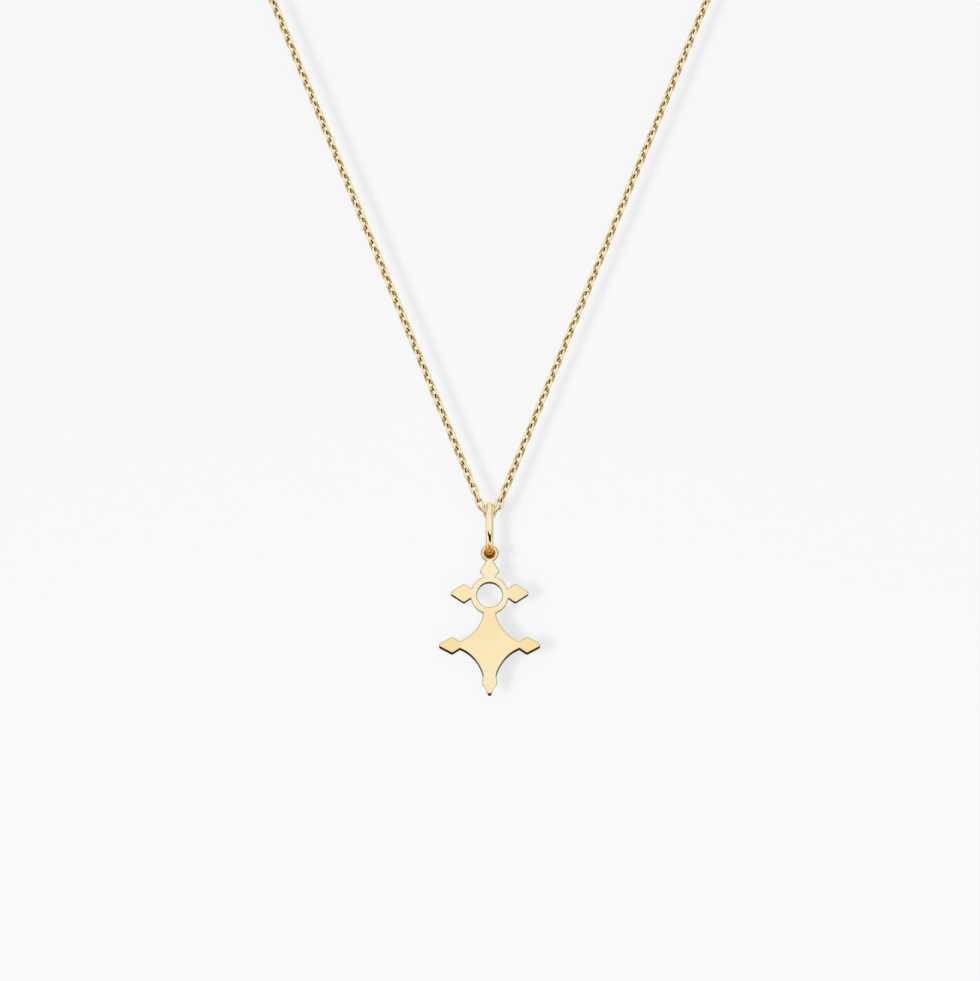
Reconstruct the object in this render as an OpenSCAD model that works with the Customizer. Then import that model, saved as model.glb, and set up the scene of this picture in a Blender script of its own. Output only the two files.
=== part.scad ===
// Tuareg cross pendant on a fine cable chain, hanging in a V as it does below a neck.
// Millimetres. +Z is up, -Y is the front, and the origin is at the nape, in the middle of the clasp.

/* [Neck loop] */
// How far the lowest point of the chain hangs below the nape
drop = 108; // [100:1:125]
// Distance from the nape forward to the upright plane of the V
front_depth = 92; // [85:1:105]
// Angle of each leg of the V from the vertical, in degrees
leg_angle = 21.95; // [18:0.05:26]
// Height of the straight part of each leg
leg_rise = 62; // [50:1:70]
// Length of the curve's handle above each leg
shoulder_pull = 62; // [50:1:70]
// Length of the curve's handle beside the nape
nape_pull = 80; // [65:1:90]

/* [Chain] */
// Diameter of the round that the links fill
chain_d = 0.7; // [0.6:0.05:0.8]

/* [Bail ring] */
// Outer diameter of the ring
bail_d = 5.6; // [5.2:0.1:6.5]
// Diameter of its wire
bail_wire = 0.8; // [0.7:0.05:0.8]

/* [Cross, loop and ring] */
// Thickness of the gold sheet
plate_t = 1; // [0.8:0.05:1.1]
// Outer diameter of the hanging loop
loop_d = 1.74; // [1.7:0.02:2]
// Diameter of the hole in the loop
loop_hole_d = 1.04; // [1.04:0.02:1.2]
// Distance from the loop hole down to the middle of the ring
ring_drop = 4.3; // [4.1:0.05:4.5]
// Outer diameter of the ring
ring_d = 3.76; // [3.6:0.02:3.9]
// Diameter of the hole in the ring
ring_hole_d = 2.56; // [2.3:0.02:2.7]

/* [Cross, star body] */
// Distance from the loop hole down to the middle of the star body
body_drop = 9.37; // [9.2:0.01:9.5]
// Radius of the four hollow sides
hollow_r = 3.9; // [3.8:0.01:4]
// Sideways distance from the middle of the body to the centre of each hollow side
hollow_x = 4.42; // [4.4:0.01:4.46]
// Upright distance from the middle of the body to the centre of each hollow side
hollow_z = 3.94; // [3.92:0.01:4]
// Radius on the corners of the lozenges
corner_r = 0.2; // [0.1:0.01:0.22]

/* [Clasp] */
// Outer diameter of the spring ring
clasp_d = 5.5; // [5:0.1:6]
// Diameter of its tube
clasp_tube = 1; // [0.8:0.05:1.1]
// Outer diameter of the small eyelet soldered to it
eyelet_d = 1.95; // [1.8:0.05:2.2]
// Diameter of the eyelet's wire
eyelet_wire = 0.45; // [0.35:0.05:0.5]

/* [Hidden] */

// Space left between two pieces that meet
gap = 0.1;
chain_sides = 8;
bend_steps = 5;
curve_steps = 35;
corner_steps = 4;
$fn = 96;

gold = [1, 0.86, 0.6];

// Places worked out from the sizes above
bail_r = (bail_d - bail_wire) / 2;
bail_top = chain_d / 2 + gap + bail_wire / 2;
bail_drop = bail_r - bail_top;
loop_drop = bail_drop + bail_r;
clasp_r = (clasp_d - clasp_tube) / 2;
eyelet_r = (eyelet_d - eyelet_wire) / 2;
eyelet_sink = 0.1;
eyelet_reach = clasp_d / 2 + eyelet_r - eyelet_sink;
clasp_half = (clasp_d / 2 + eyelet_reach + eyelet_d / 2) / 2;
clasp_shift = clasp_half - clasp_d / 2;
chain_end = clasp_half + gap;

// Each lozenge points along +X from the middle of what carries it. Its columns are where it leaves
// that piece, the half width there, where it is widest, the half width there, and its point, which
// the round corner then shortens by about corner_r.
//           neck  half   wide  half   tip
ring_side = [1.80, 0.44, 2.56, 0.96, 4.02];
body_side = [2.97, 0.32, 3.72, 0.82, 5.24];
body_foot = [3.13, 0.60, 3.98, 0.77, 5.38];
// The upper lozenge, between the loop and the ring, as distances below the loop hole and half widths
//            neck  half   wide  half  ring  half
upper_kite = [0.78, 0.38, 1.88, 1.00, 2.50, 0.60];
// How far the lozenges beside the ring sit above its middle
ring_side_lift = 0.17;
// How far every lozenge runs into what carries it
root = 0.5;
// The same at the two ends of the upper lozenge, where the loop and the ring are narrower
loop_root = 0.2;
ring_root = 0.3;
// How much of its neck's width a lozenge keeps inside what carries it
root_share = 0.5;

function unit(v) = v / norm(v);

// Points of a small arc that rounds corner b between a and c
function corner(a, b, c, r) =
    let (
        u = unit(a - b),
        v = unit(c - b),
        half = acos(u * v) / 2,
        middle = b + unit(u + v) * r / sin(half),
        from = b + u * r / tan(half) - middle,
        to = b + v * r / tan(half) - middle
    )
    [for (i = [0 : corner_steps]) middle + r * unit(from + (to - from) * i / corner_steps)];

// The route of the right half of the chain: round the underside of the bail ring's wire, up one leg
// of the V, then round the side of the neck to the clasp
bend_angle = 90 - leg_angle;
bend_middle = [0, -front_depth, bail_top - drop];

function bend_way(angle) = [cos(angle), 0, sin(angle)];

function bend_point(angle) = bend_middle + bail_top * [sin(angle), 0, -cos(angle)];

leg_way = bend_way(bend_angle);
leg_foot = bend_point(bend_angle);
leg_top = leg_foot + leg_way * leg_rise / cos(leg_angle);
nape_end = [chain_end, 0, 0];
shoulder = leg_top + leg_way * shoulder_pull;
behind = nape_end + [nape_pull, 0, 0];

function neck_point(t) =
    pow(1 - t, 3) * leg_top + 3 * pow(1 - t, 2) * t * shoulder
    + 3 * (1 - t) * t * t * behind + pow(t, 3) * nape_end;

function neck_way(t) =
    unit(pow(1 - t, 2) * (shoulder - leg_top) + 2 * (1 - t) * t * (behind - shoulder)
    + t * t * (nape_end - behind));

function route_point(i) =
    i == 0 ? [gap / 2, -front_depth, -drop]
    : i <= bend_steps ? bend_point(bend_angle * i / bend_steps)
    : neck_point((i - bend_steps - 1) / curve_steps);

function route_way(i) =
    i == 0 ? [1, 0, 0]
    : i <= bend_steps ? bend_way(bend_angle * i / bend_steps)
    : neck_way((i - bend_steps - 1) / curve_steps);

rings = bend_steps + curve_steps + 2;

// One ring of the tube, square to the route
function tube_ring(i) =
    let (
        way = route_way(i),
        side = unit(cross([0, -1, 1], way)),
        lift = cross(way, side)
    )
    [for (k = [0 : chain_sides - 1])
        let (turn = 360 * (k + 0.5) / chain_sides)
        route_point(i) + chain_d / 2 * (cos(turn) * side + sin(turn) * lift)];

function route_length(i = 1) =
    i == rings ? 0 : norm(route_point(i) - route_point(i - 1)) + route_length(i + 1);

necklace_length = 2 * route_length() + 2 * chain_end + gap;
echo(necklace_length = necklace_length);

module chain_half() {
    points = [for (i = [0 : rings - 1]) each tube_ring(i)];
    start_cap = [for (k = [0 : chain_sides - 1]) k];
    end_cap = [for (k = [chain_sides - 1 : -1 : 0]) (rings - 1) * chain_sides + k];
    walls = [for (i = [0 : rings - 2], k = [0 : chain_sides - 1])
        let (a = i * chain_sides + k, b = i * chain_sides + (k + 1) % chain_sides)
        each [[a, a + chain_sides, b + chain_sides], [a, b + chain_sides, b]]];
    polyhedron(points, concat([start_cap], walls, [end_cap]));
}

module chain_right() {
    color(gold) chain_half();
}

module chain_left() {
    color(gold) mirror([1, 0, 0]) chain_half();
}

// A wire ring that lies in the XZ plane
module wire_ring(r, wire) {
    rotate([90, 0, 0]) rotate_extrude() translate([r, 0]) circle(d = wire);
}

module clasp() {
    color(gold) translate([clasp_shift, 0, 0]) {
        wire_ring(clasp_r, clasp_tube);
        translate([-eyelet_reach, 0, 0]) wire_ring(eyelet_r, eyelet_wire);
    }
}

module bail_ring() {
    color(gold) translate([0, -front_depth, -drop - bail_drop]) rotate([0, 0, 90])
        wire_ring(bail_r, bail_wire);
}

// A lozenge that points along +X
module lozenge(row) {
    neck = row[0];
    neck_half = row[1];
    wide = [row[2], row[3]];
    tip = [row[4], 0];
    low = [row[2], -row[3]];
    polygon(concat(
        [[neck - root, -neck_half * root_share], [neck, -neck_half]],
        corner([neck, -neck_half], low, tip, corner_r),
        corner(low, tip, wide, corner_r),
        corner(tip, wide, [neck, neck_half], corner_r),
        [[neck, neck_half], [neck - root, neck_half * root_share]]
    ));
}

// The lozenge between the loop and the ring, cut short by both
module upper_lozenge() {
    neck = [upper_kite[1], -upper_kite[0]];
    wide = [upper_kite[3], -upper_kite[2]];
    ring = [upper_kite[5], -upper_kite[4]];
    right = concat(
        [[neck[0] * root_share, neck[1] + loop_root], neck],
        corner(neck, wide, ring, corner_r),
        [ring, ring - [0, ring_root]]
    );
    polygon(concat(right, [for (i = [len(right) - 1 : -1 : 0]) [-right[i][0], right[i][1]]]));
}

// The four-pointed body with hollow sides, which reaches up into the ring
module star() {
    top = body_drop - ring_drop - ring_hole_d / 2 - ring_root;
    difference() {
        translate([-body_side[0], -body_foot[0]]) square([2 * body_side[0], body_foot[0] + top]);
        for (x = [-1, 1], z = [-1, 1]) translate([x * hollow_x, z * hollow_z]) circle(r = hollow_r);
    }
}

module sheet() {
    linear_extrude(height = plate_t, center = true) children();
}

module through_hole(d) {
    cylinder(d = d, h = 2 * plate_t, center = true);
}

// The cross lying flat, with the middle of its loop hole at the origin
module flat_cross() {
    difference() {
        union() {
            sheet() circle(d = loop_d);
            sheet() upper_lozenge();
            translate([0, -ring_drop, 0]) sheet() circle(d = ring_d);
            for (x = [0, 1]) mirror([x, 0, 0])
                translate([0, ring_side_lift - ring_drop, 0]) sheet() lozenge(ring_side);
            translate([0, -body_drop, 0]) {
                sheet() star();
                for (x = [0, 1]) mirror([x, 0, 0]) sheet() lozenge(body_side);
                rotate(-90) sheet() lozenge(body_foot);
            }
        }
        through_hole(loop_hole_d);
        translate([0, -ring_drop, 0]) through_hole(ring_hole_d);
    }
}

module cross_pendant() {
    color(gold) translate([0, -front_depth, -drop - loop_drop]) rotate([90, 0, 0]) flat_cross();
}

chain_left();
chain_right();
clasp();
bail_ring();
cross_pendant();
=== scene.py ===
"""Looks for the cross necklace: every link of its chain, a softened cross, and polished gold."""

import math
import random

import bmesh
import bpy
import numpy as np
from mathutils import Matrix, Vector


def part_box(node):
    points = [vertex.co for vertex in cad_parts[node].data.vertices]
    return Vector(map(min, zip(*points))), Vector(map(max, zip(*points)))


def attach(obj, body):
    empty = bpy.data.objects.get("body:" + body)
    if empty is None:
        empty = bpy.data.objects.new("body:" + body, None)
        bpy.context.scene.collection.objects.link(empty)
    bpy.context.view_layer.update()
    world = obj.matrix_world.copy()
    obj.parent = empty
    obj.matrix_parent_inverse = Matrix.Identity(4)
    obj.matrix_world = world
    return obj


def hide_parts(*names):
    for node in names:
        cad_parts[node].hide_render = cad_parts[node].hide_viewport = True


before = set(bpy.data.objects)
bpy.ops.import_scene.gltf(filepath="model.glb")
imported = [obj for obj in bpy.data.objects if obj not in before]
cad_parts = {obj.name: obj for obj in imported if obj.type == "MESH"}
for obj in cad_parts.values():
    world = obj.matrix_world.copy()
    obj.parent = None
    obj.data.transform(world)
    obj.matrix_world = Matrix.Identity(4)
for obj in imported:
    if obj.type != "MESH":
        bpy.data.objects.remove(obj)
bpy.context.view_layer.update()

MM = 0.001
SEED = 7

# The chain's route, with the same driving values as the solids
DROP = 108 * MM
FRONT_DEPTH = 92 * MM
LEG_ANGLE = math.radians(21.95)
LEG_RISE = 62 * MM
SHOULDER_PULL = 62 * MM
NAPE_PULL = 80 * MM
GAP = 0.1 * MM

FRONT_Y = -FRONT_DEPTH
BOTTOM_Z = -DROP


# Small tools

def link_object(name, data):
    piece = bpy.data.objects.new(name, data)
    bpy.context.scene.collection.objects.link(piece)
    return piece


def mesh_from_arrays(name, verts, faces):
    mesh = bpy.data.meshes.new(name)
    mesh.from_pydata(np.asarray(verts).tolist(), [], [list(map(int, f)) for f in faces])
    mesh.validate()
    mesh.shade_smooth()
    return mesh


def unit(v):
    return v / np.linalg.norm(v)


def share_between(value, start, end):
    """0 at start and 1 at end, and held there beyond them."""
    return min(max((value - start) / (end - start), 0), 1)


def tube(centres, radii, up, sides, closed):
    """Vertices and faces of a tube round a flat path, where up is square to the path's plane."""
    centres = np.asarray(centres, float)
    count = len(centres)
    if closed:
        ways = np.roll(centres, -1, 0) - np.roll(centres, 1, 0)
    else:
        ways = np.gradient(centres, axis=0)
    ways /= np.linalg.norm(ways, axis=1)[:, None]
    up = unit(np.asarray(up, float))
    out = np.cross(ways, up)
    turns = np.arange(sides) * 2 * math.pi / sides
    radii = np.broadcast_to(np.asarray(radii, float), (count,))
    spokes = out[:, None] * np.cos(turns)[None, :, None] + up * np.sin(turns)[None, :, None]
    verts = (centres[:, None] + radii[:, None, None] * spokes).reshape(-1, 3)
    faces = []
    for i in range(count if closed else count - 1):
        a = i * sides
        b = (i + 1) % count * sides
        for k in range(sides):
            n = (k + 1) % sides
            faces.append((a + k, a + n, b + n, b + k))
    if not closed:
        faces.append(tuple(range(sides)))
        faces.append(tuple((count - 1) * sides + k for k in reversed(range(sides))))
    return verts, faces


def joined(parts):
    """Several (vertices, faces) pairs as one pair."""
    verts = []
    faces = []
    start = 0
    for v, f in parts:
        verts.append(v)
        faces.extend(tuple(start + i for i in face) for face in f)
        start += len(v)
    return np.concatenate(verts), faces


def circle(centre, radius, steps, plane):
    """Points of a circle, where plane gives its two directions."""
    turns = np.arange(steps) * 2 * math.pi / steps
    a, b = (np.asarray(d, float) for d in plane)
    return np.asarray(centre) + radius * (np.outer(np.cos(turns), a) + np.outer(np.sin(turns), b))


# Shader nodes

def node(tree, kind, sockets=None, **settings):
    """A shader node with its settings, and with values or other nodes' outputs on its sockets."""
    made = tree.nodes.new(kind)
    for key, value in settings.items():
        setattr(made, key, value)
    for key, value in (sockets or {}).items():
        if isinstance(value, bpy.types.NodeSocket):
            tree.links.new(value, made.inputs[key])
        else:
            made.inputs[key].default_value = value
    return made


def math_node(tree, operation, *values):
    return node(tree, "ShaderNodeMath", dict(enumerate(values)), operation=operation).outputs[0]


def ramp(tree, value, low, high, to_low=0.0, to_high=1.0, curve="SMOOTHSTEP"):
    """Value taken from low..high to to_low..to_high, and held at both ends."""
    return node(tree, "ShaderNodeMapRange", {
        "Value": value, "From Min": low, "From Max": high, "To Min": to_low, "To Max": to_high,
    }, interpolation_type=curve).outputs["Result"]


def blend(tree, share, first, second):
    """The first colour where share is 0, and the second where it is 1."""
    return node(tree, "ShaderNodeMix", {"Factor": share, "A": first, "B": second},
                data_type="RGBA").outputs["Result"]


def blend_shaders(tree, share, first, second):
    return node(tree, "ShaderNodeMixShader", {
        0: share, 1: first.outputs[0], 2: second.outputs[0]})


def new_material(name):
    material = bpy.data.materials.new(name)
    material.use_nodes = True
    return material


# The camera: a long lens from a little below, with the middle of the picture on TARGET
TARGET = Vector((0.04 * MM, FRONT_Y, BOTTOM_Z + 2.43 * MM))
ELEVATION = math.radians(-12)
CAMERA_DISTANCE = 0.6
FRAME_HEIGHT = 98.1 * MM
SENSOR = 36

camera_data = bpy.data.cameras.new("camera")
camera = link_object("camera", camera_data)
back = Vector((0, -math.cos(ELEVATION), math.sin(ELEVATION)))
camera.location = TARGET + back * CAMERA_DISTANCE
camera.rotation_mode = "QUATERNION"
camera.rotation_quaternion = (-back).to_track_quat("-Z", "Y")
camera_data.sensor_width = SENSOR
camera_data.lens = SENSOR * CAMERA_DISTANCE / FRAME_HEIGHT
camera_data.clip_start = 0.01
camera_data.clip_end = 100
bpy.context.scene.camera = camera


# Polished gold: each finish is a pale and a warm tone, in soft clouds. Some tones below are
# painted light and shade, as noted at each.
WIRE_PALE = (0.99, 0.86, 0.58, 1)
WIRE_WARM = (0.99, 0.80, 0.48, 1)
LINK_PALE = (1.0, 0.88, 0.52, 1)
LINK_WARM = (1.0, 0.81, 0.40, 1)
SHEET_PALE = (0.90, 0.755, 0.475, 1)
SHEET_WARM = (0.88, 0.71, 0.41, 1)
# Painted highlight and painted shade for zones of the sheet's face
SHEET_PAINTED_HIGHLIGHT = (0.90, 0.76, 0.505, 1)
SHEET_PAINTED_SHADE = (0.86, 0.69, 0.345, 1)
# The sheet's walls and its rounded edges: the sheet's gold darkened as painted shade
CUT_SHADE_PALE = (0.80, 0.60, 0.28, 1)
CUT_SHADE_WARM = (0.76, 0.55, 0.22, 1)
EDGE_SHADE_PALE = (0.64, 0.57, 0.34, 1)
EDGE_SHADE_WARM = (0.58, 0.50, 0.28, 1)
# The walls of the loop, the ring and the lower lozenge: gold darkened to an olive tone as painted
# shade
LOOP_SHADE_PALE = (0.66, 0.58, 0.36, 1)
LOOP_SHADE_WARM = (0.60, 0.51, 0.30, 1)
# Inside the loop's hole: dark orange-brown painted shade
HOLE_SHADE_PALE = (0.80, 0.47, 0.08, 1)
HOLE_SHADE_WARM = (0.72, 0.40, 0.05, 1)
# The walls of the ring's hole: gold darkened as painted shade
RING_HOLE_SHADE_PALE = (0.62, 0.54, 0.33, 1)
RING_HOLE_SHADE_WARM = (0.58, 0.48, 0.27, 1)
# Painted shade on the chain's wires further back
BACK_SHADE_BROWN = (0.64, 0.36, 0.06, 1)
# Painted shade for recesses
RECESS_SHADE_DEEP = (0.20, 0.085, 0.004, 1)
# Painted orange shade and painted amber reflection where the bail's wire lies in the loop
ORANGE_RECESS_SHADE = (0.78, 0.40, 0.07, 1)
AMBER_LOOP_REFLECTION = (1.0, 0.62, 0.20, 1)

# The share of a link's half width behind its middle from which its painted shade is fully brown
BACK_SHADE_FROM = 0.45
# How open a place is where it counts as a recess and takes full painted shade, and where it takes
# none
RECESS_CLOSED = 0.45
RECESS_OPEN = 0.95


def gold(name, warm, pale, cloud_scale, grain_scale, smooth, rough, wave_scale, wave_height,
         grain_height, recess_shade=0.0, recess_depth=0.0, recess_shade_colour=RECESS_SHADE_DEEP, back_shade=0.0,
         metallic=1.0, zones=()):
    """A gold finish, with painted shade towards the back of links and in recesses where asked.
    Each zone is a colour of painted light or shade, the distances from the middle plane between
    which it sets in, and the heights between which it does."""
    material = new_material(name)
    tree = material.node_tree
    shader = tree.nodes["Principled BSDF"]
    place = node(tree, "ShaderNodeTexCoord").outputs["Object"]

    clouds = node(tree, "ShaderNodeTexNoise", {
        "Vector": place, "Scale": cloud_scale, "Detail": 3.0, "Roughness": 0.5})
    colour = blend(tree, ramp(tree, clouds.outputs["Fac"], 0.35, 0.65), warm, pale)
    side, _, height = node(tree, "ShaderNodeSeparateXYZ", {0: place}).outputs
    for zone, side_from, side_to, height_from, height_to in zones:
        share = math_node(tree, "MULTIPLY",
                          ramp(tree, math_node(tree, "ABSOLUTE", side), side_from, side_to),
                          ramp(tree, height, height_from, height_to))
        colour = blend(tree, share, colour, zone)
    # Painted shade: points further behind a link's middle turn brown
    if back_shade:
        depth = node(tree, "ShaderNodeAttribute", attribute_name="depth").outputs["Fac"]
        colour = blend(tree, ramp(tree, depth, 0.0, BACK_SHADE_FROM, 0.0, back_shade), colour,
                       BACK_SHADE_BROWN)
    # Painted shade: recesses found by ambient occlusion take the recess colour
    if recess_shade:
        occlusion = node(tree, "ShaderNodeAmbientOcclusion", {"Distance": recess_depth}, samples=8)
        colour = blend(tree, ramp(tree, occlusion.outputs["AO"], RECESS_CLOSED, RECESS_OPEN, recess_shade,
                                  0.0), colour, recess_shade_colour)
    tree.links.new(colour, shader.inputs["Base Color"])

    grain = node(tree, "ShaderNodeTexNoise", {
        "Vector": place, "Scale": grain_scale, "Detail": 4.0, "Roughness": 0.6})
    tree.links.new(ramp(tree, grain.outputs["Fac"], 0.3, 0.7, smooth, rough),
                   shader.inputs["Roughness"])
    shader.inputs["Metallic"].default_value = metallic

    waves = node(tree, "ShaderNodeTexNoise", {
        "Vector": place, "Scale": wave_scale, "Detail": 1.0, "Roughness": 0.4})
    waved = node(tree, "ShaderNodeBump", {
        "Strength": 1.0, "Distance": wave_height, "Height": waves.outputs["Fac"]})
    grained = node(tree, "ShaderNodeBump", {
        "Strength": 1.0, "Distance": grain_height, "Height": grain.outputs["Fac"],
        "Normal": waved.outputs["Normal"]})
    tree.links.new(grained.outputs["Normal"], shader.inputs["Normal"])
    return material


# What all the walls and edges of the cut sheet share
CUT_FINISH = {"cloud_scale": 400, "grain_scale": 6000, "wave_scale": 900, "wave_height": 4e-6,
              "grain_height": 0.3e-6}

# The chain's gold, with painted shade in its recesses and on its wires further back
chain_gold = gold("chain_gold", LINK_WARM, LINK_PALE, cloud_scale=900, grain_scale=9000,
                  smooth=0.10, rough=0.20, wave_scale=2500, wave_height=8e-6, grain_height=1e-6,
                  recess_shade=1.0, recess_depth=0.22 * MM, back_shade=0.9)
# The zone is a painted amber reflection of the loop on the bail's lower end, where it passes
# through the loop. Its recesses take painted orange shade.
wire_gold = gold("wire_gold", WIRE_WARM, WIRE_PALE, cloud_scale=500, grain_scale=7000,
                 smooth=0.03, rough=0.08, wave_scale=900, wave_height=4e-6, grain_height=0.3e-6,
                 recess_shade=0.7, recess_depth=0.4 * MM, recess_shade_colour=ORANGE_RECESS_SHADE,
                 zones=((AMBER_LOOP_REFLECTION, 2.0 * MM, 1.9 * MM, -111.4 * MM, -111.8 * MM),))
# The zones are a painted highlight on the middle above the body, and painted shade on the body's
# outer lozenges
sheet_gold = gold("sheet_gold", SHEET_WARM, SHEET_PALE, cloud_scale=180, grain_scale=6000,
                  smooth=0.08, rough=0.16, wave_scale=220, wave_height=20e-6, grain_height=0.0,
                  zones=((SHEET_PAINTED_HIGHLIGHT, 2.3 * MM, 1.5 * MM, -118.5 * MM, -117.0 * MM),
                         (SHEET_PAINTED_SHADE, 2.4 * MM, 3.4 * MM, -118.0 * MM, -120.0 * MM)))
# Walls, edges and holes of the cross: their darker tones are painted shade
wall_shade_gold = gold("wall_shade_gold", CUT_SHADE_WARM, CUT_SHADE_PALE, smooth=0.10, rough=0.18, **CUT_FINISH)
edge_shade_gold = gold("edge_shade_gold", EDGE_SHADE_WARM, EDGE_SHADE_PALE, smooth=0.16, rough=0.26, **CUT_FINISH)
ring_hole_shade_gold = gold("ring_hole_shade_gold", RING_HOLE_SHADE_WARM, RING_HOLE_SHADE_PALE, smooth=0.36, rough=0.44,
                     **CUT_FINISH)
loop_wall_shade_gold = gold("loop_wall_shade_gold", LOOP_SHADE_WARM, LOOP_SHADE_PALE, smooth=0.50, rough=0.60,
                     metallic=0.3, **CUT_FINISH)
hole_shade_gold = gold("hole_shade_gold", HOLE_SHADE_WARM, HOLE_SHADE_PALE, smooth=0.50, rough=0.60, metallic=0.7,
                 **CUT_FINISH)


# The route of the chain
ROUTE_STEPS = 400
SAMPLE_STEP = 0.1 * MM

leg_way = np.array([math.sin(LEG_ANGLE), 0, math.cos(LEG_ANGLE)])
bail_lo, bail_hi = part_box("bail_ring")
clasp_lo, clasp_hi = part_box("clasp")
bail_wire = bail_hi.x - bail_lo.x
bail_top_z = bail_hi.z - bail_wire / 2
bend_radius = bail_top_z - BOTTOM_Z
leg_foot = np.array([bend_radius * math.cos(LEG_ANGLE), FRONT_Y,
                     bail_top_z - bend_radius * math.sin(LEG_ANGLE)])
leg_top = leg_foot + leg_way * LEG_RISE / math.cos(LEG_ANGLE)
nape_end = np.array([clasp_hi.x + GAP, 0, 0])
shoulder = leg_top + leg_way * SHOULDER_PULL
beside_nape = nape_end + np.array([NAPE_PULL, 0, 0])


def neck_route():
    """Points from leg_top round the side of the neck, and on past the clasp to the middle."""
    t = np.linspace(0, 1, ROUTE_STEPS)[:, None]
    curve = ((1 - t) ** 3 * leg_top + 3 * (1 - t) ** 2 * t * shoulder
             + 3 * (1 - t) * t ** 2 * beside_nape + t ** 3 * nape_end)
    return np.concatenate([curve, [[0, 0, 0]]])


def points_along(route, short, pitch):
    """Evenly spaced points that end the distance short before the route does, and the route's
    way at each."""
    steps = np.linalg.norm(np.diff(route, axis=0), axis=1)
    walked = np.concatenate([[0], np.cumsum(steps)])
    end = steps.sum() - short
    at = np.linspace(0.0, end, round(end / pitch) + 1)

    def sample(distance):
        return np.stack([np.interp(distance, walked, route[:, i]) for i in range(3)], 1)

    ahead = sample(at + SAMPLE_STEP) - sample(at - SAMPLE_STEP)
    return sample(at), ahead / np.linalg.norm(ahead, axis=1)[:, None]


# One link, flat in its own plane: its two round ends are bend_r round, end_x from its middle
LINK_PITCH = 0.82 * MM
LINK_WIRE = 0.26 * MM
LINK_WIDTH = 0.88 * MM
LINK_SLACK = 0.01 * MM
LINK_STEPS = 28
LINK_SIDES = 10
# What is left between two wires that touch
TOUCH = 0.01 * MM

link_r = LINK_WIRE / 2
link_length = LINK_PITCH + 2 * LINK_WIRE + LINK_SLACK
bend_r = LINK_WIDTH / 2 - link_r
end_x = (link_length - LINK_WIDTH) / 2
reach = end_x + bend_r


def link_template():
    turns = (np.arange(LINK_STEPS) + 0.5) * 2 * math.pi / LINK_STEPS
    path = np.stack([bend_r * np.cos(turns) + np.sign(np.cos(turns)) * end_x,
                     bend_r * np.sin(turns), np.zeros(LINK_STEPS)], 1)
    return tube(path, link_r, (0, 0, 1), LINK_SIDES, True)


# The lowest link hangs under the bail's wire, in the plane of the V. The next one on each side
# holds it at HOLD_ANGLE round its end, and from the one after that they follow the leg.
HOLD_ANGLE = math.radians(45)
LEG_LINK_UP = 1.08 * MM
LEG_LINK_OUT = 0.97 * MM

lowest = np.array([0, FRONT_Y, bail_top_z - bail_wire / 2 - bend_r - link_r - TOUCH])
hole_r = bend_r - LINK_WIRE - TOUCH / 2
first_hold = lowest + np.array([end_x + hole_r * math.cos(HOLD_ANGLE), 0,
                                hole_r * math.sin(HOLD_ANGLE)])
leg_link = np.array([LEG_LINK_OUT, FRONT_Y, BOTTOM_Z + LEG_LINK_UP])
second_hold = leg_link - leg_way * reach
side_way = unit(second_hold - first_hold)
side_link = first_hold + side_way * reach

# Each link is rolled by ROLL one way or the other, within WOBBLE. The first are rolled further.
ROLL = 45
WOBBLE = 4


def chain_half(name, side, short, twist_links, extra_parts):
    """All the links of one side, as one mesh. Side is 1 for the right and -1 for the left, and
    only the right has the lowest link. Short is how far the links end before the nape's middle,
    and twist_links how many links the further roll takes to die away."""
    draw = random.Random(SEED + side)
    centres, ways = points_along(np.concatenate([[leg_link], neck_route()]), short, LINK_PITCH)
    centres = [side_link, *centres]
    ways = [side_way, leg_way, *ways[1:]]
    first = 1
    if side > 0:
        centres = [lowest, *centres]
        ways = [np.array([1.0, 0, 0]), *ways]
        first = 0

    level = np.array([0.0, 1.0, 0.0])
    template, template_faces = link_template()
    parts = []
    depths = []
    for number, (centre, way) in enumerate(zip(centres, ways), first):
        level = unit(level - level.dot(way) * way)
        twist = ROLL * max(0.0, 1 - number / twist_links)
        turn = (ROLL if number % 2 == 0 else -ROLL) + twist + draw.uniform(-WOBBLE, WOBBLE)
        roll = math.radians(turn)
        across = math.cos(roll) * level + math.sin(roll) * np.cross(way, level)
        turned = template @ np.stack([way, across, np.cross(way, across)])
        parts.append((centre + turned, template_faces))
        depths.append(turned @ level / bend_r)
    verts, faces = joined(parts)
    if side < 0:
        verts = verts * np.array([-1, 1, 1])
        faces = [tuple(reversed(f)) for f in faces]
    verts, faces = joined([(verts, faces)] + extra_parts)
    piece = link_object(name, mesh_from_arrays(name, verts, faces))
    piece.data.materials.append(chain_gold)
    # How far each point of a link lies behind the link's middle, as a share of bend_r
    behind = np.zeros(len(piece.data.vertices))
    depths = np.concatenate(depths)
    behind[:len(depths)] = depths
    piece.data.attributes.new("depth", "FLOAT", "POINT").data.foreach_set("value", behind)
    return piece


# The clasp: the links end in its eyelet on the left and in a jump ring on the right
EYELET_WIRE = 0.45 * MM
EYELET_R = 0.75 * MM
EYELET_STEPS = 72
EYELET_SIDES = 20
JUMP_WIRE = 0.4 * MM
JUMP_R = 0.95 * MM
JUMP_STEPS = 64
JUMP_SIDES = 20
TWIST_LINKS_RIGHT = 5
TWIST_LINKS_LEFT = 9

clasp_tube = clasp_hi.y - clasp_lo.y
clasp_r = (clasp_hi.z - clasp_lo.z - clasp_tube) / 2
clasp_middle = np.array([clasp_hi.x - clasp_tube / 2 - clasp_r, 0, 0])
eyelet_middle = np.array([clasp_lo.x + EYELET_R + EYELET_WIRE / 2, 0, 0])
jump_left = clasp_hi.x - clasp_tube - JUMP_WIRE / 2 - 2 * TOUCH
jump_middle = np.array([jump_left + JUMP_R, 0, 0])

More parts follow.
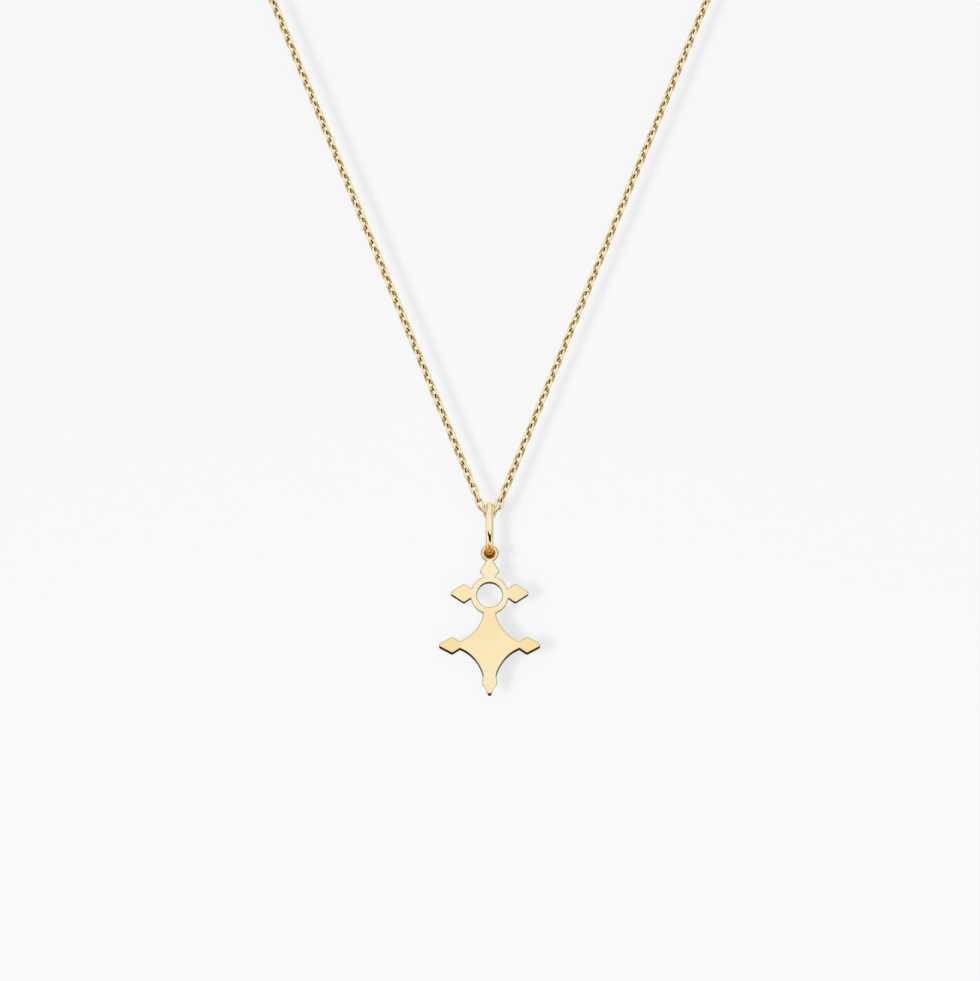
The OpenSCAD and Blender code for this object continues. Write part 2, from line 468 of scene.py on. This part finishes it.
jump_ring = tube(circle(jump_middle, JUMP_R, JUMP_STEPS, ((1, 0, 0), (0, 1, 0))), JUMP_WIRE / 2,
                 (0, 0, 1), JUMP_SIDES, True)
right_end = jump_left + 2 * JUMP_R - JUMP_WIRE / 2 - link_r - TOUCH + reach
left_end = -(clasp_lo.x + EYELET_WIRE + link_r + TOUCH) + reach

chain_right = chain_half("chain_links_right", 1, right_end, TWIST_LINKS_RIGHT, [jump_ring])
chain_left = chain_half("chain_links_left", -1, left_end, TWIST_LINKS_LEFT, [])

# Its ring's tube is narrower at the gate, between two collars
GATE_FROM = math.radians(28)
GATE_TO = math.radians(82)
GATE_GIRTH = 0.7
COLLAR = math.radians(5)
COLLAR_GIRTH = 1.1
CLASP_STEPS = 144
CLASP_SIDES = 28

tube_r = clasp_tube / 2
turns = np.arange(CLASP_STEPS) * 2 * math.pi / CLASP_STEPS
radii = np.full(CLASP_STEPS, tube_r)
radii[(turns > GATE_FROM) & (turns < GATE_TO)] = tube_r * GATE_GIRTH
low_collar = (turns > GATE_FROM - COLLAR) & (turns <= GATE_FROM)
high_collar = (turns >= GATE_TO) & (turns < GATE_TO + COLLAR)
radii[low_collar | high_collar] = tube_r * COLLAR_GIRTH
upright_plane = ((1, 0, 0), (0, 0, 1))
spring_ring = tube(circle(clasp_middle, clasp_r, CLASP_STEPS, upright_plane), radii, (0, -1, 0),
                   CLASP_SIDES, True)
eyelet = tube(circle(eyelet_middle, EYELET_R, EYELET_STEPS, upright_plane), EYELET_WIRE / 2,
              (0, -1, 0), EYELET_SIDES, True)

# Its lever, as shares of its length and of its radius from the foot to the tip
LEVER_AT = math.radians(112)
LEVER_R = 0.3 * MM
LEVER_LENGTH = 0.75 * MM
LEVER_RISE = np.array([0.0, 0.5, 0.62, 0.72, 0.80, 0.88, 0.95, 0.99, 1.0])
LEVER_GIRTH = np.array([0.62, 0.62, 0.66, 0.9, 1.0, 1.0, 0.9, 0.6, 0.25])
LEVER_SIDES = 24

lever_way = np.array([math.cos(LEVER_AT), 0, math.sin(LEVER_AT)])
lever_foot = clasp_middle + lever_way * clasp_r
lever = tube(lever_foot + np.outer(LEVER_RISE, lever_way) * (tube_r + LEVER_LENGTH),
             LEVER_GIRTH * LEVER_R, (0, -1, 0), LEVER_SIDES, False)
verts, faces = joined([spring_ring, eyelet, lever])
clasp = link_object("spring_clasp", mesh_from_arrays("spring_clasp", verts, faces))
clasp.data.materials.append(wire_gold)

# The bail: a plain round jump ring
BAIL_STEPS = 160
BAIL_SIDES = 40

bail_middle = np.array([0, (bail_lo.y + bail_hi.y) / 2, (bail_lo.z + bail_hi.z) / 2])
bail_r = (bail_hi.z - bail_lo.z - bail_wire) / 2
verts, faces = tube(circle(bail_middle, bail_r, BAIL_STEPS, ((0, 1, 0), (0, 0, 1))),
                    bail_wire / 2, (1, 0, 0), BAIL_SIDES, True)
bail = link_object("bail_jump_ring", mesh_from_arrays("bail_jump_ring", verts, faces))
bail.data.materials.append(wire_gold)


# The cross: the solid's own shape with the sharp edges of the cut sheet rounded off. The rows of
# points down its walls run from 0 at the front to LAST_ROW at the back.
EDGE_ROWS = 3
WALL_ROWS = 6
LAST_ROW = 2 * EDGE_ROWS + WALL_ROWS
SAME_PLACE = 0.001 * MM
SAME_PLANE = math.radians(0.5)

# How far edges are rounded: on walls that face down, on others, and on the loop. The first two
# meet between these upward shares of a wall's outward way.
EDGE_CRISP = 0.02 * MM
EDGE_SOFT = 0.10 * MM
LOOP_SOFT = 0.18 * MM
CRISP_AT = -0.5
SOFT_AT = -0.1

# Distances from the middle of the loop's hole: the hole's own points and faces, the loop's
# points, and the end of the upper lozenge
EYE_POINTS = 0.572 * MM
EYE_FACES = 0.624 * MM
LOOP_POINTS = 0.95 * MM
LOOP_REACH = 2.6 * MM
# The ring's middle below it, and distances from that: the ring's hole, and its outer wall
RING_DROP = 4.3 * MM
RING_HOLE_REACH = 1.4625 * MM
RING_REACH = 1.95 * MM
# Where the body starts below the hole, and how high the lower lozenge and its tip are
BODY_DROP = 6.0 * MM
FOOT_HEIGHT = 1.35 * MM
TIP_HEIGHT = 0.22 * MM

# The loop swells a little and hangs lower on the wire, all but the middle of its hole's wall,
# which bulges up to the wire
LOOP_SWELL = 0.04 * MM
EYE_BULGE = 0.115 * MM
EYE_SAG = 0.12 * MM
SAG_FULL = 1.9 * MM
SAG_END = 2.6 * MM
# Towards the back, walls that face down lean in on the upper and lower lozenges, and out on the
# body. The tip of the lower lozenge leans up at the front.
LOOP_TAPER = 0.25 * MM
WALL_FLARE = 0.07 * MM
STEEP = 0.3
TIP_LIFT = 0.13 * MM
TIP_LEAN = 0.10 * MM

# Faces that face the front by more than this share are flat, or edges, or edges in the hole
FLAT_SHARE = 0.99
EDGE_SHARE = 0.2
EYE_EDGE_SHARE = 0.5
SHARP = math.radians(40)

cross_lo, cross_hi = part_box("cross_pendant")
plate_t = cross_hi.y - cross_lo.y
eye_z = bail_lo.z + bail_wire / 2


def sheet_with_rows():
    """The solid's shape with rows of points down its walls, and each point's outward way."""
    shape = bmesh.new()
    shape.from_mesh(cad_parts["cross_pendant"].data)
    bmesh.ops.remove_doubles(shape, verts=shape.verts, dist=SAME_PLACE)
    bmesh.ops.dissolve_limit(shape, angle_limit=SAME_PLANE, verts=shape.verts, edges=shape.edges)
    bmesh.ops.recalc_face_normals(shape, faces=shape.faces)
    outward = shape.verts.layers.float_vector.new("outward")
    upright = [edge for edge in shape.edges
               if abs(edge.verts[0].co.y - edge.verts[1].co.y) > plate_t / 2]
    for edge in upright:
        both = sum((face.normal for face in edge.link_faces), Vector()) / 2
        for vert in edge.verts:
            vert[outward] = both / both.length_squared
    bmesh.ops.subdivide_edges(shape, edges=upright, cuts=LAST_ROW - 1)
    return shape, outward


def soften(vert, way):
    """Moves a point of a wall whose outward way is given."""
    row = round((vert.co.y - cross_lo.y) / plate_t * LAST_ROW)
    near = min(row, LAST_ROW - row)
    from_eye = math.hypot(vert.co.x, vert.co.z - eye_z)
    above_tip = vert.co.z - cross_lo.z
    on_loop = EYE_POINTS < from_eye < LOOP_POINTS
    if on_loop:
        soft = LOOP_SOFT
    elif from_eye < LOOP_REACH or TIP_HEIGHT < above_tip < FOOT_HEIGHT:
        soft = EDGE_SOFT
    else:
        soft = EDGE_CRISP + (EDGE_SOFT - EDGE_CRISP) * share_between(way.z, CRISP_AT, SOFT_AT)
    round_off = math.radians(90) * min(near / EDGE_ROWS, 1)
    depth = soft * (1 - math.cos(round_off))
    depth += (plate_t / 2 - soft) * max(near - EDGE_ROWS, 0) / (WALL_ROWS / 2)
    pull = -soft * (1 - math.sin(round_off))
    if on_loop:
        pull += LOOP_SWELL

    to_back = (depth if row == near else plate_t - depth) / plate_t
    lean = to_back * share_between(-way.z, 0, STEEP)
    sag = EYE_SAG * share_between(from_eye, SAG_END, SAG_FULL)
    if above_tip < TIP_HEIGHT:
        sag -= TIP_LIFT + TIP_LEAN * (1 - to_back)
    elif EYE_POINTS < from_eye < LOOP_REACH or above_tip < FOOT_HEIGHT:
        pull -= LOOP_TAPER * lean
    elif eye_z - vert.co.z > BODY_DROP:
        pull += WALL_FLARE * lean
    if from_eye < EYE_POINTS:
        bulge = 1 - (1 - 2 * depth / plate_t) ** 2
        pull += EYE_BULGE * bulge
        sag *= 1 - bulge
    vert.co += way * pull
    vert.co.z -= sag
    vert.co.y = cross_lo.y + depth if row == near else cross_hi.y - depth


def finish_of(face):
    """The gold that a face of the cross has: plain gold on the flat faces, and painted shade on
    the edges, walls and holes.
    """
    middle = face.calc_center_median()
    from_eye = math.hypot(middle.x, middle.z - eye_z)
    from_ring = math.hypot(middle.x, middle.z - eye_z + RING_DROP)
    above_tip = middle.z - cross_lo.z - TIP_LIFT
    frontal = abs(face.normal.y)
    if frontal > FLAT_SHARE:
        return sheet_gold
    if frontal > (EYE_EDGE_SHARE if from_eye < EYE_POINTS else EDGE_SHARE):
        return edge_shade_gold
    if from_ring < RING_HOLE_REACH:
        return ring_hole_shade_gold
    if from_eye < EYE_FACES:
        return hole_shade_gold
    if from_ring < RING_REACH or from_eye < LOOP_REACH or TIP_HEIGHT < above_tip < FOOT_HEIGHT:
        return loop_wall_shade_gold
    return wall_shade_gold


shape, outward = sheet_with_rows()
for vert in shape.verts:
    soften(vert, vert[outward].copy())
shape.normal_update()
cross_golds = [sheet_gold, edge_shade_gold, wall_shade_gold, ring_hole_shade_gold, loop_wall_shade_gold, hole_shade_gold]
for face in shape.faces:
    face.material_index = cross_golds.index(finish_of(face))
    face.smooth = True
for edge in shape.edges:
    kinds = {face.material_index == 0 for face in edge.link_faces}
    edge.smooth = len(kinds) == 1 and edge.calc_face_angle(0.0) < SHARP
cross_mesh = bpy.data.meshes.new("cross_sheet")
shape.to_mesh(cross_mesh)
shape.free()
if "custom_normal" in cross_mesh.attributes:
    cross_mesh.attributes.remove(cross_mesh.attributes["custom_normal"])
for finish in cross_golds:
    cross_mesh.materials.append(finish)
cross = link_object("cross_sheet", cross_mesh)

for piece, body, slot, cad_node in (
    (chain_right, "neck_chain", "gold_chain", "chain_right"),
    (chain_left, "neck_chain", "gold_chain", "chain_left"),
    (clasp, "neck_chain", "gold_wire", "clasp"),
    (bail, "bail", "gold_wire", "bail_ring"),
    (cross, "cross", "gold_sheet", "cross_pendant"),
):
    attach(piece, body)
    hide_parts(cad_node)


# The studio's light: a tent that is plain white to the camera. The patches of it that the gold
# reflects are set by the parts of a direction, where +Y is behind and +Z is up.
WHITE_LIGHT = 0.947
WHITE = (1, 1, 1, 1)
WARM = (0.76, 0.42, 0.14, 1)
RIM_BROWN = (0.30, 0.16, 0.04, 1)
BACK_BRONZE = (1.0, 0.82, 0.42, 1)
BOOM_EDGE = (0.38, 0.22, 0.08, 1)
BOOM_CORE = (0.01, 0.004, 0.001, 1)
# The way that the upper side of the bent boom faces
BOOM_TOP = (0.2055, -0.5637, 0.8008)
LOW_BACK_LIGHT = 0.8
WARM_BACK_LIGHT = 0.7
FLANK_LIGHT = 1.35
BACK_LEFT_LIGHT = 0.035
BACK_RIGHT_LIGHT = 0.065
BACK_LOW_SHARE = 0.9

world = bpy.data.worlds.new("studio")
bpy.context.scene.world = world
world.use_nodes = True
sky = world.node_tree
sky.nodes.clear()
way = node(sky, "ShaderNodeTexCoord").outputs["Generated"]
x, y, z = node(sky, "ShaderNodeSeparateXYZ", {0: way}).outputs
across = math_node(sky, "ABSOLUTE", x)


def product(*values):
    made = values[0]
    for value in values[1:]:
        made = math_node(sky, "MULTIPLY", made, value)
    return made


def rises(value, low, high, top=1.0):
    """0 below low, and top above high."""
    return ramp(sky, value, low, high, 0.0, top)


def falls(value, low, high, bottom=0.0, top=1.0):
    """Top below low, and bottom above high."""
    return ramp(sky, value, low, high, top, bottom)


def background(colour, strength):
    return node(sky, "ShaderNodeBackground", {"Color": colour, "Strength": strength})


# The tent's light round the sides, by turns from behind (0) past the left and the front (0.5), and
# how neutral it is there
SIDE_STOPS = ((0.0, 0.90, 1), (0.055, 0.85, 1), (0.111, 0.70, 0.96), (0.161, 0.50, 0.92),
              (0.208, 0.86, 0.96), (0.25, 1.0, 1), (0.389, 0.93, 1), (0.458, 0.95, 1),
              (0.5, 1.10, 1), (0.533, 1.06, 1), (0.556, 1.02, 1), (0.608, 0.95, 1),
              (0.653, 0.84, 0.98), (0.70, 0.66, 0.94), (0.764, 0.62, 0.92), (0.833, 0.80, 0.96),
              (1.0, 0.90, 1))
turn = math_node(sky, "DIVIDE", math_node(sky, "ARCTAN2", x, product(y, -1.0)), 2 * math.pi)
sides = node(sky, "ShaderNodeValToRGB", {"Fac": math_node(sky, "ADD", turn, 0.5)})
stops = sides.color_ramp.elements
while len(stops) < len(SIDE_STOPS):
    stops.new(0.5)
for stop, (place, value, neutral) in zip(stops, SIDE_STOPS):
    stop.position = place
    stop.color = (value, value * neutral, value * neutral ** 2, 1)

# It is white above and below, and less bright low at the back
pole = math_node(sky, "MAXIMUM", rises(z, 0.75, 0.95), falls(z, -0.45, -0.25))
tent = blend(sky, pole, sides.outputs["Color"], WHITE)
low_back = product(falls(z, -0.32, -0.2), rises(y, -0.1, 0.1))
light = ramp(sky, low_back, 0.0, 1.0, 1.0, LOW_BACK_LIGHT, "LINEAR")

# Below, towards the back, it is warm, less bright further back, and brighter at both sides
warm_front = math_node(sky, "ADD", y, rises(x, 0.0, 0.3, top=-0.12))
warmth = product(falls(across, 0.45, 0.95), falls(x, 0.55, 0.7, bottom=0.4),
                 falls(z, -0.72, -0.4), rises(warm_front, -0.38, -0.13))
warmed = blend(sky, warmth, tent, WARM)
rim = product(rises(y, 0.4, 0.65), falls(z, -0.25, -0.05, top=0.85), rises(across, 0.3, 0.5))
flank = product(rises(across, 0.42, 0.6), falls(z, -0.5, -0.3), rises(y, -0.2, 0.0))
light = product(light, falls(product(warmth, rises(y, 0.3, 0.9)), 0.0, 1.0, WARM_BACK_LIGHT),
                ramp(sky, flank, 0.0, 1.0, 1.0, FLANK_LIGHT, "LINEAR"))
tent_light = background(blend(sky, rim, warmed, RIM_BROWN), light)

# A dark patch straight behind, darker on the left, reaches further round below
straight_back = product(rises(y, 0.93, 0.96), falls(z, 0.24, 0.30))
below_back = product(rises(y, 0.84, 0.87), falls(across, 0.30, 0.42), falls(z, -0.1, 0.0))
back_light = product(ramp(sky, x, -0.05, 0.12, BACK_LEFT_LIGHT, BACK_RIGHT_LIGHT),
                     ramp(sky, z, -0.16, -0.11, BACK_LOW_SHARE, 1.0))
with_back = blend_shaders(sky, math_node(sky, "MAXIMUM", straight_back, below_back), tent_light,
                          background(BACK_BRONZE, back_light))

# A dark bent boom low in front, brown at its edges and towards the right
along_top = node(sky, "ShaderNodeVectorMath", {0: way, 1: BOOM_TOP},
                 operation="DOT_PRODUCT").outputs["Value"]
above_boom = math_node(sky, "SUBTRACT", along_top, rises(x, 0.55, 0.8, top=0.18))
boom_floor = math_node(sky, "ADD", ramp(sky, x, -0.5, -0.3, -0.22, -0.45),
                       rises(x, 0.55, 0.75, top=0.4))
boom = product(falls(above_boom, 0.06, 0.14),
               rises(math_node(sky, "SUBTRACT", above_boom, boom_floor), -0.06, 0.05),
               rises(x, -0.84, -0.74), falls(x, 0.78, 0.84), falls(y, -0.25, -0.15))
boom_core = product(rises(boom, 0.4, 0.9), falls(x, 0.62, 0.72))
studio = blend_shaders(sky, boom, with_back,
                       background(blend(sky, boom_core, BOOM_EDGE, BOOM_CORE), 1.0))

to_camera = node(sky, "ShaderNodeLightPath").outputs["Is Camera Ray"]
seen = blend_shaders(sky, to_camera, studio, background(WHITE, WHITE_LIGHT))
node(sky, "ShaderNodeOutputWorld", {"Surface": seen.outputs[0]})
bpy.context.scene.view_settings.view_transform = "Standard"


def backdrop(name, corners, material):
    mesh = bpy.data.meshes.new(name)
    mesh.from_pydata(corners, [], [(0, 1, 2, 3)])
    mesh.materials.append(material)
    piece = link_object(name, mesh)
    piece.visible_glossy = False
    return piece


# A white wall behind, which fades out towards its edges and is clear from behind. It has a glow of
# its own, and soft shadows from two lamps a little to the left of the camera.
WALL_Y = 30 * MM
WALL_HALF = 150 * MM
WALL_FADE = 90 * MM
WALL_GLOW = 0.622
WALL_PAINT = (0.15, 0.15, 0.15, 1)
WALL_LOW = BOTTOM_Z - WALL_HALF
WALL_HIGH = BOTTOM_Z + WALL_HALF

wall_paint = new_material("white_wall")
tree = wall_paint.node_tree
tree.nodes.clear()
glow = node(tree, "ShaderNodeEmission", {"Color": WHITE, "Strength": WALL_GLOW})
matt = node(tree, "ShaderNodeBsdfDiffuse", {"Color": WALL_PAINT})
front = node(tree, "ShaderNodeAddShader", {0: glow.outputs[0], 1: matt.outputs[0]})
clear = node(tree, "ShaderNodeBsdfTransparent")
place = node(tree, "ShaderNodeTexCoord").outputs["Object"]
from_middle = node(tree, "ShaderNodeVectorMath", {0: place, 1: (0, WALL_Y, BOTTOM_Z)},
                   operation="DISTANCE").outputs["Value"]
faded = math_node(tree, "MAXIMUM", node(tree, "ShaderNodeNewGeometry").outputs["Backfacing"],
                  ramp(tree, from_middle, WALL_FADE, WALL_HALF))
node(tree, "ShaderNodeOutputMaterial", {
    "Surface": blend_shaders(tree, faded, front, clear).outputs[0]})
wall = backdrop("wall", [(-WALL_HALF, WALL_Y, WALL_LOW), (WALL_HALF, WALL_Y, WALL_LOW),
                         (WALL_HALF, WALL_Y, WALL_HIGH), (-WALL_HALF, WALL_Y, WALL_HIGH)],
                wall_paint)
wall.visible_shadow = False
wall.visible_diffuse = False

# Each lamp's name, power, radius, and how far its shadows on the wall lie to the right and up
LAMP_POWER = 17.0
LAMPS = (("lamp_left", LAMP_POWER, 3 * MM, (1.85 * MM, 0.3 * MM)),
         ("lamp_soft", 0.6 * LAMP_POWER, 14 * MM, (0.7 * MM, 0.1 * MM)))
to_wall_share = (WALL_Y - FRONT_Y) / CAMERA_DISTANCE
for name, power, radius, (right, up) in LAMPS:
    data = bpy.data.lights.new(name, "POINT")
    data.energy = power
    data.shadow_soft_size = radius
    lamp = link_object(name, data)
    lamp.location = camera.location - Vector((right, 0, up)) / to_wall_share
    lamp.visible_glossy = False

# A pale floor far below
FLOOR_Z = -1.4
FLOOR_HALF = 30.0
FLOOR_TONES = ((0.80, 0.80, 0.80, 1), (0.82, 0.82, 0.82, 1))

floor_paint = new_material("pale_floor")
tree = floor_paint.node_tree
speckle = node(tree, "ShaderNodeTexNoise", {"Scale": 3.0, "Detail": 4.0})
shader = tree.nodes["Principled BSDF"]
tree.links.new(blend(tree, speckle.outputs["Fac"], *FLOOR_TONES), shader.inputs["Base Color"])
shader.inputs["Roughness"].default_value = 1.0
shader.inputs["Specular IOR Level"].default_value = 0.0
floor = backdrop("floor", [(-FLOOR_HALF, -FLOOR_HALF, FLOOR_Z), (FLOOR_HALF, -FLOOR_HALF, FLOOR_Z),
                           (FLOOR_HALF, FLOOR_HALF, FLOOR_Z), (-FLOOR_HALF, FLOOR_HALF, FLOOR_Z)],
                 floor_paint)
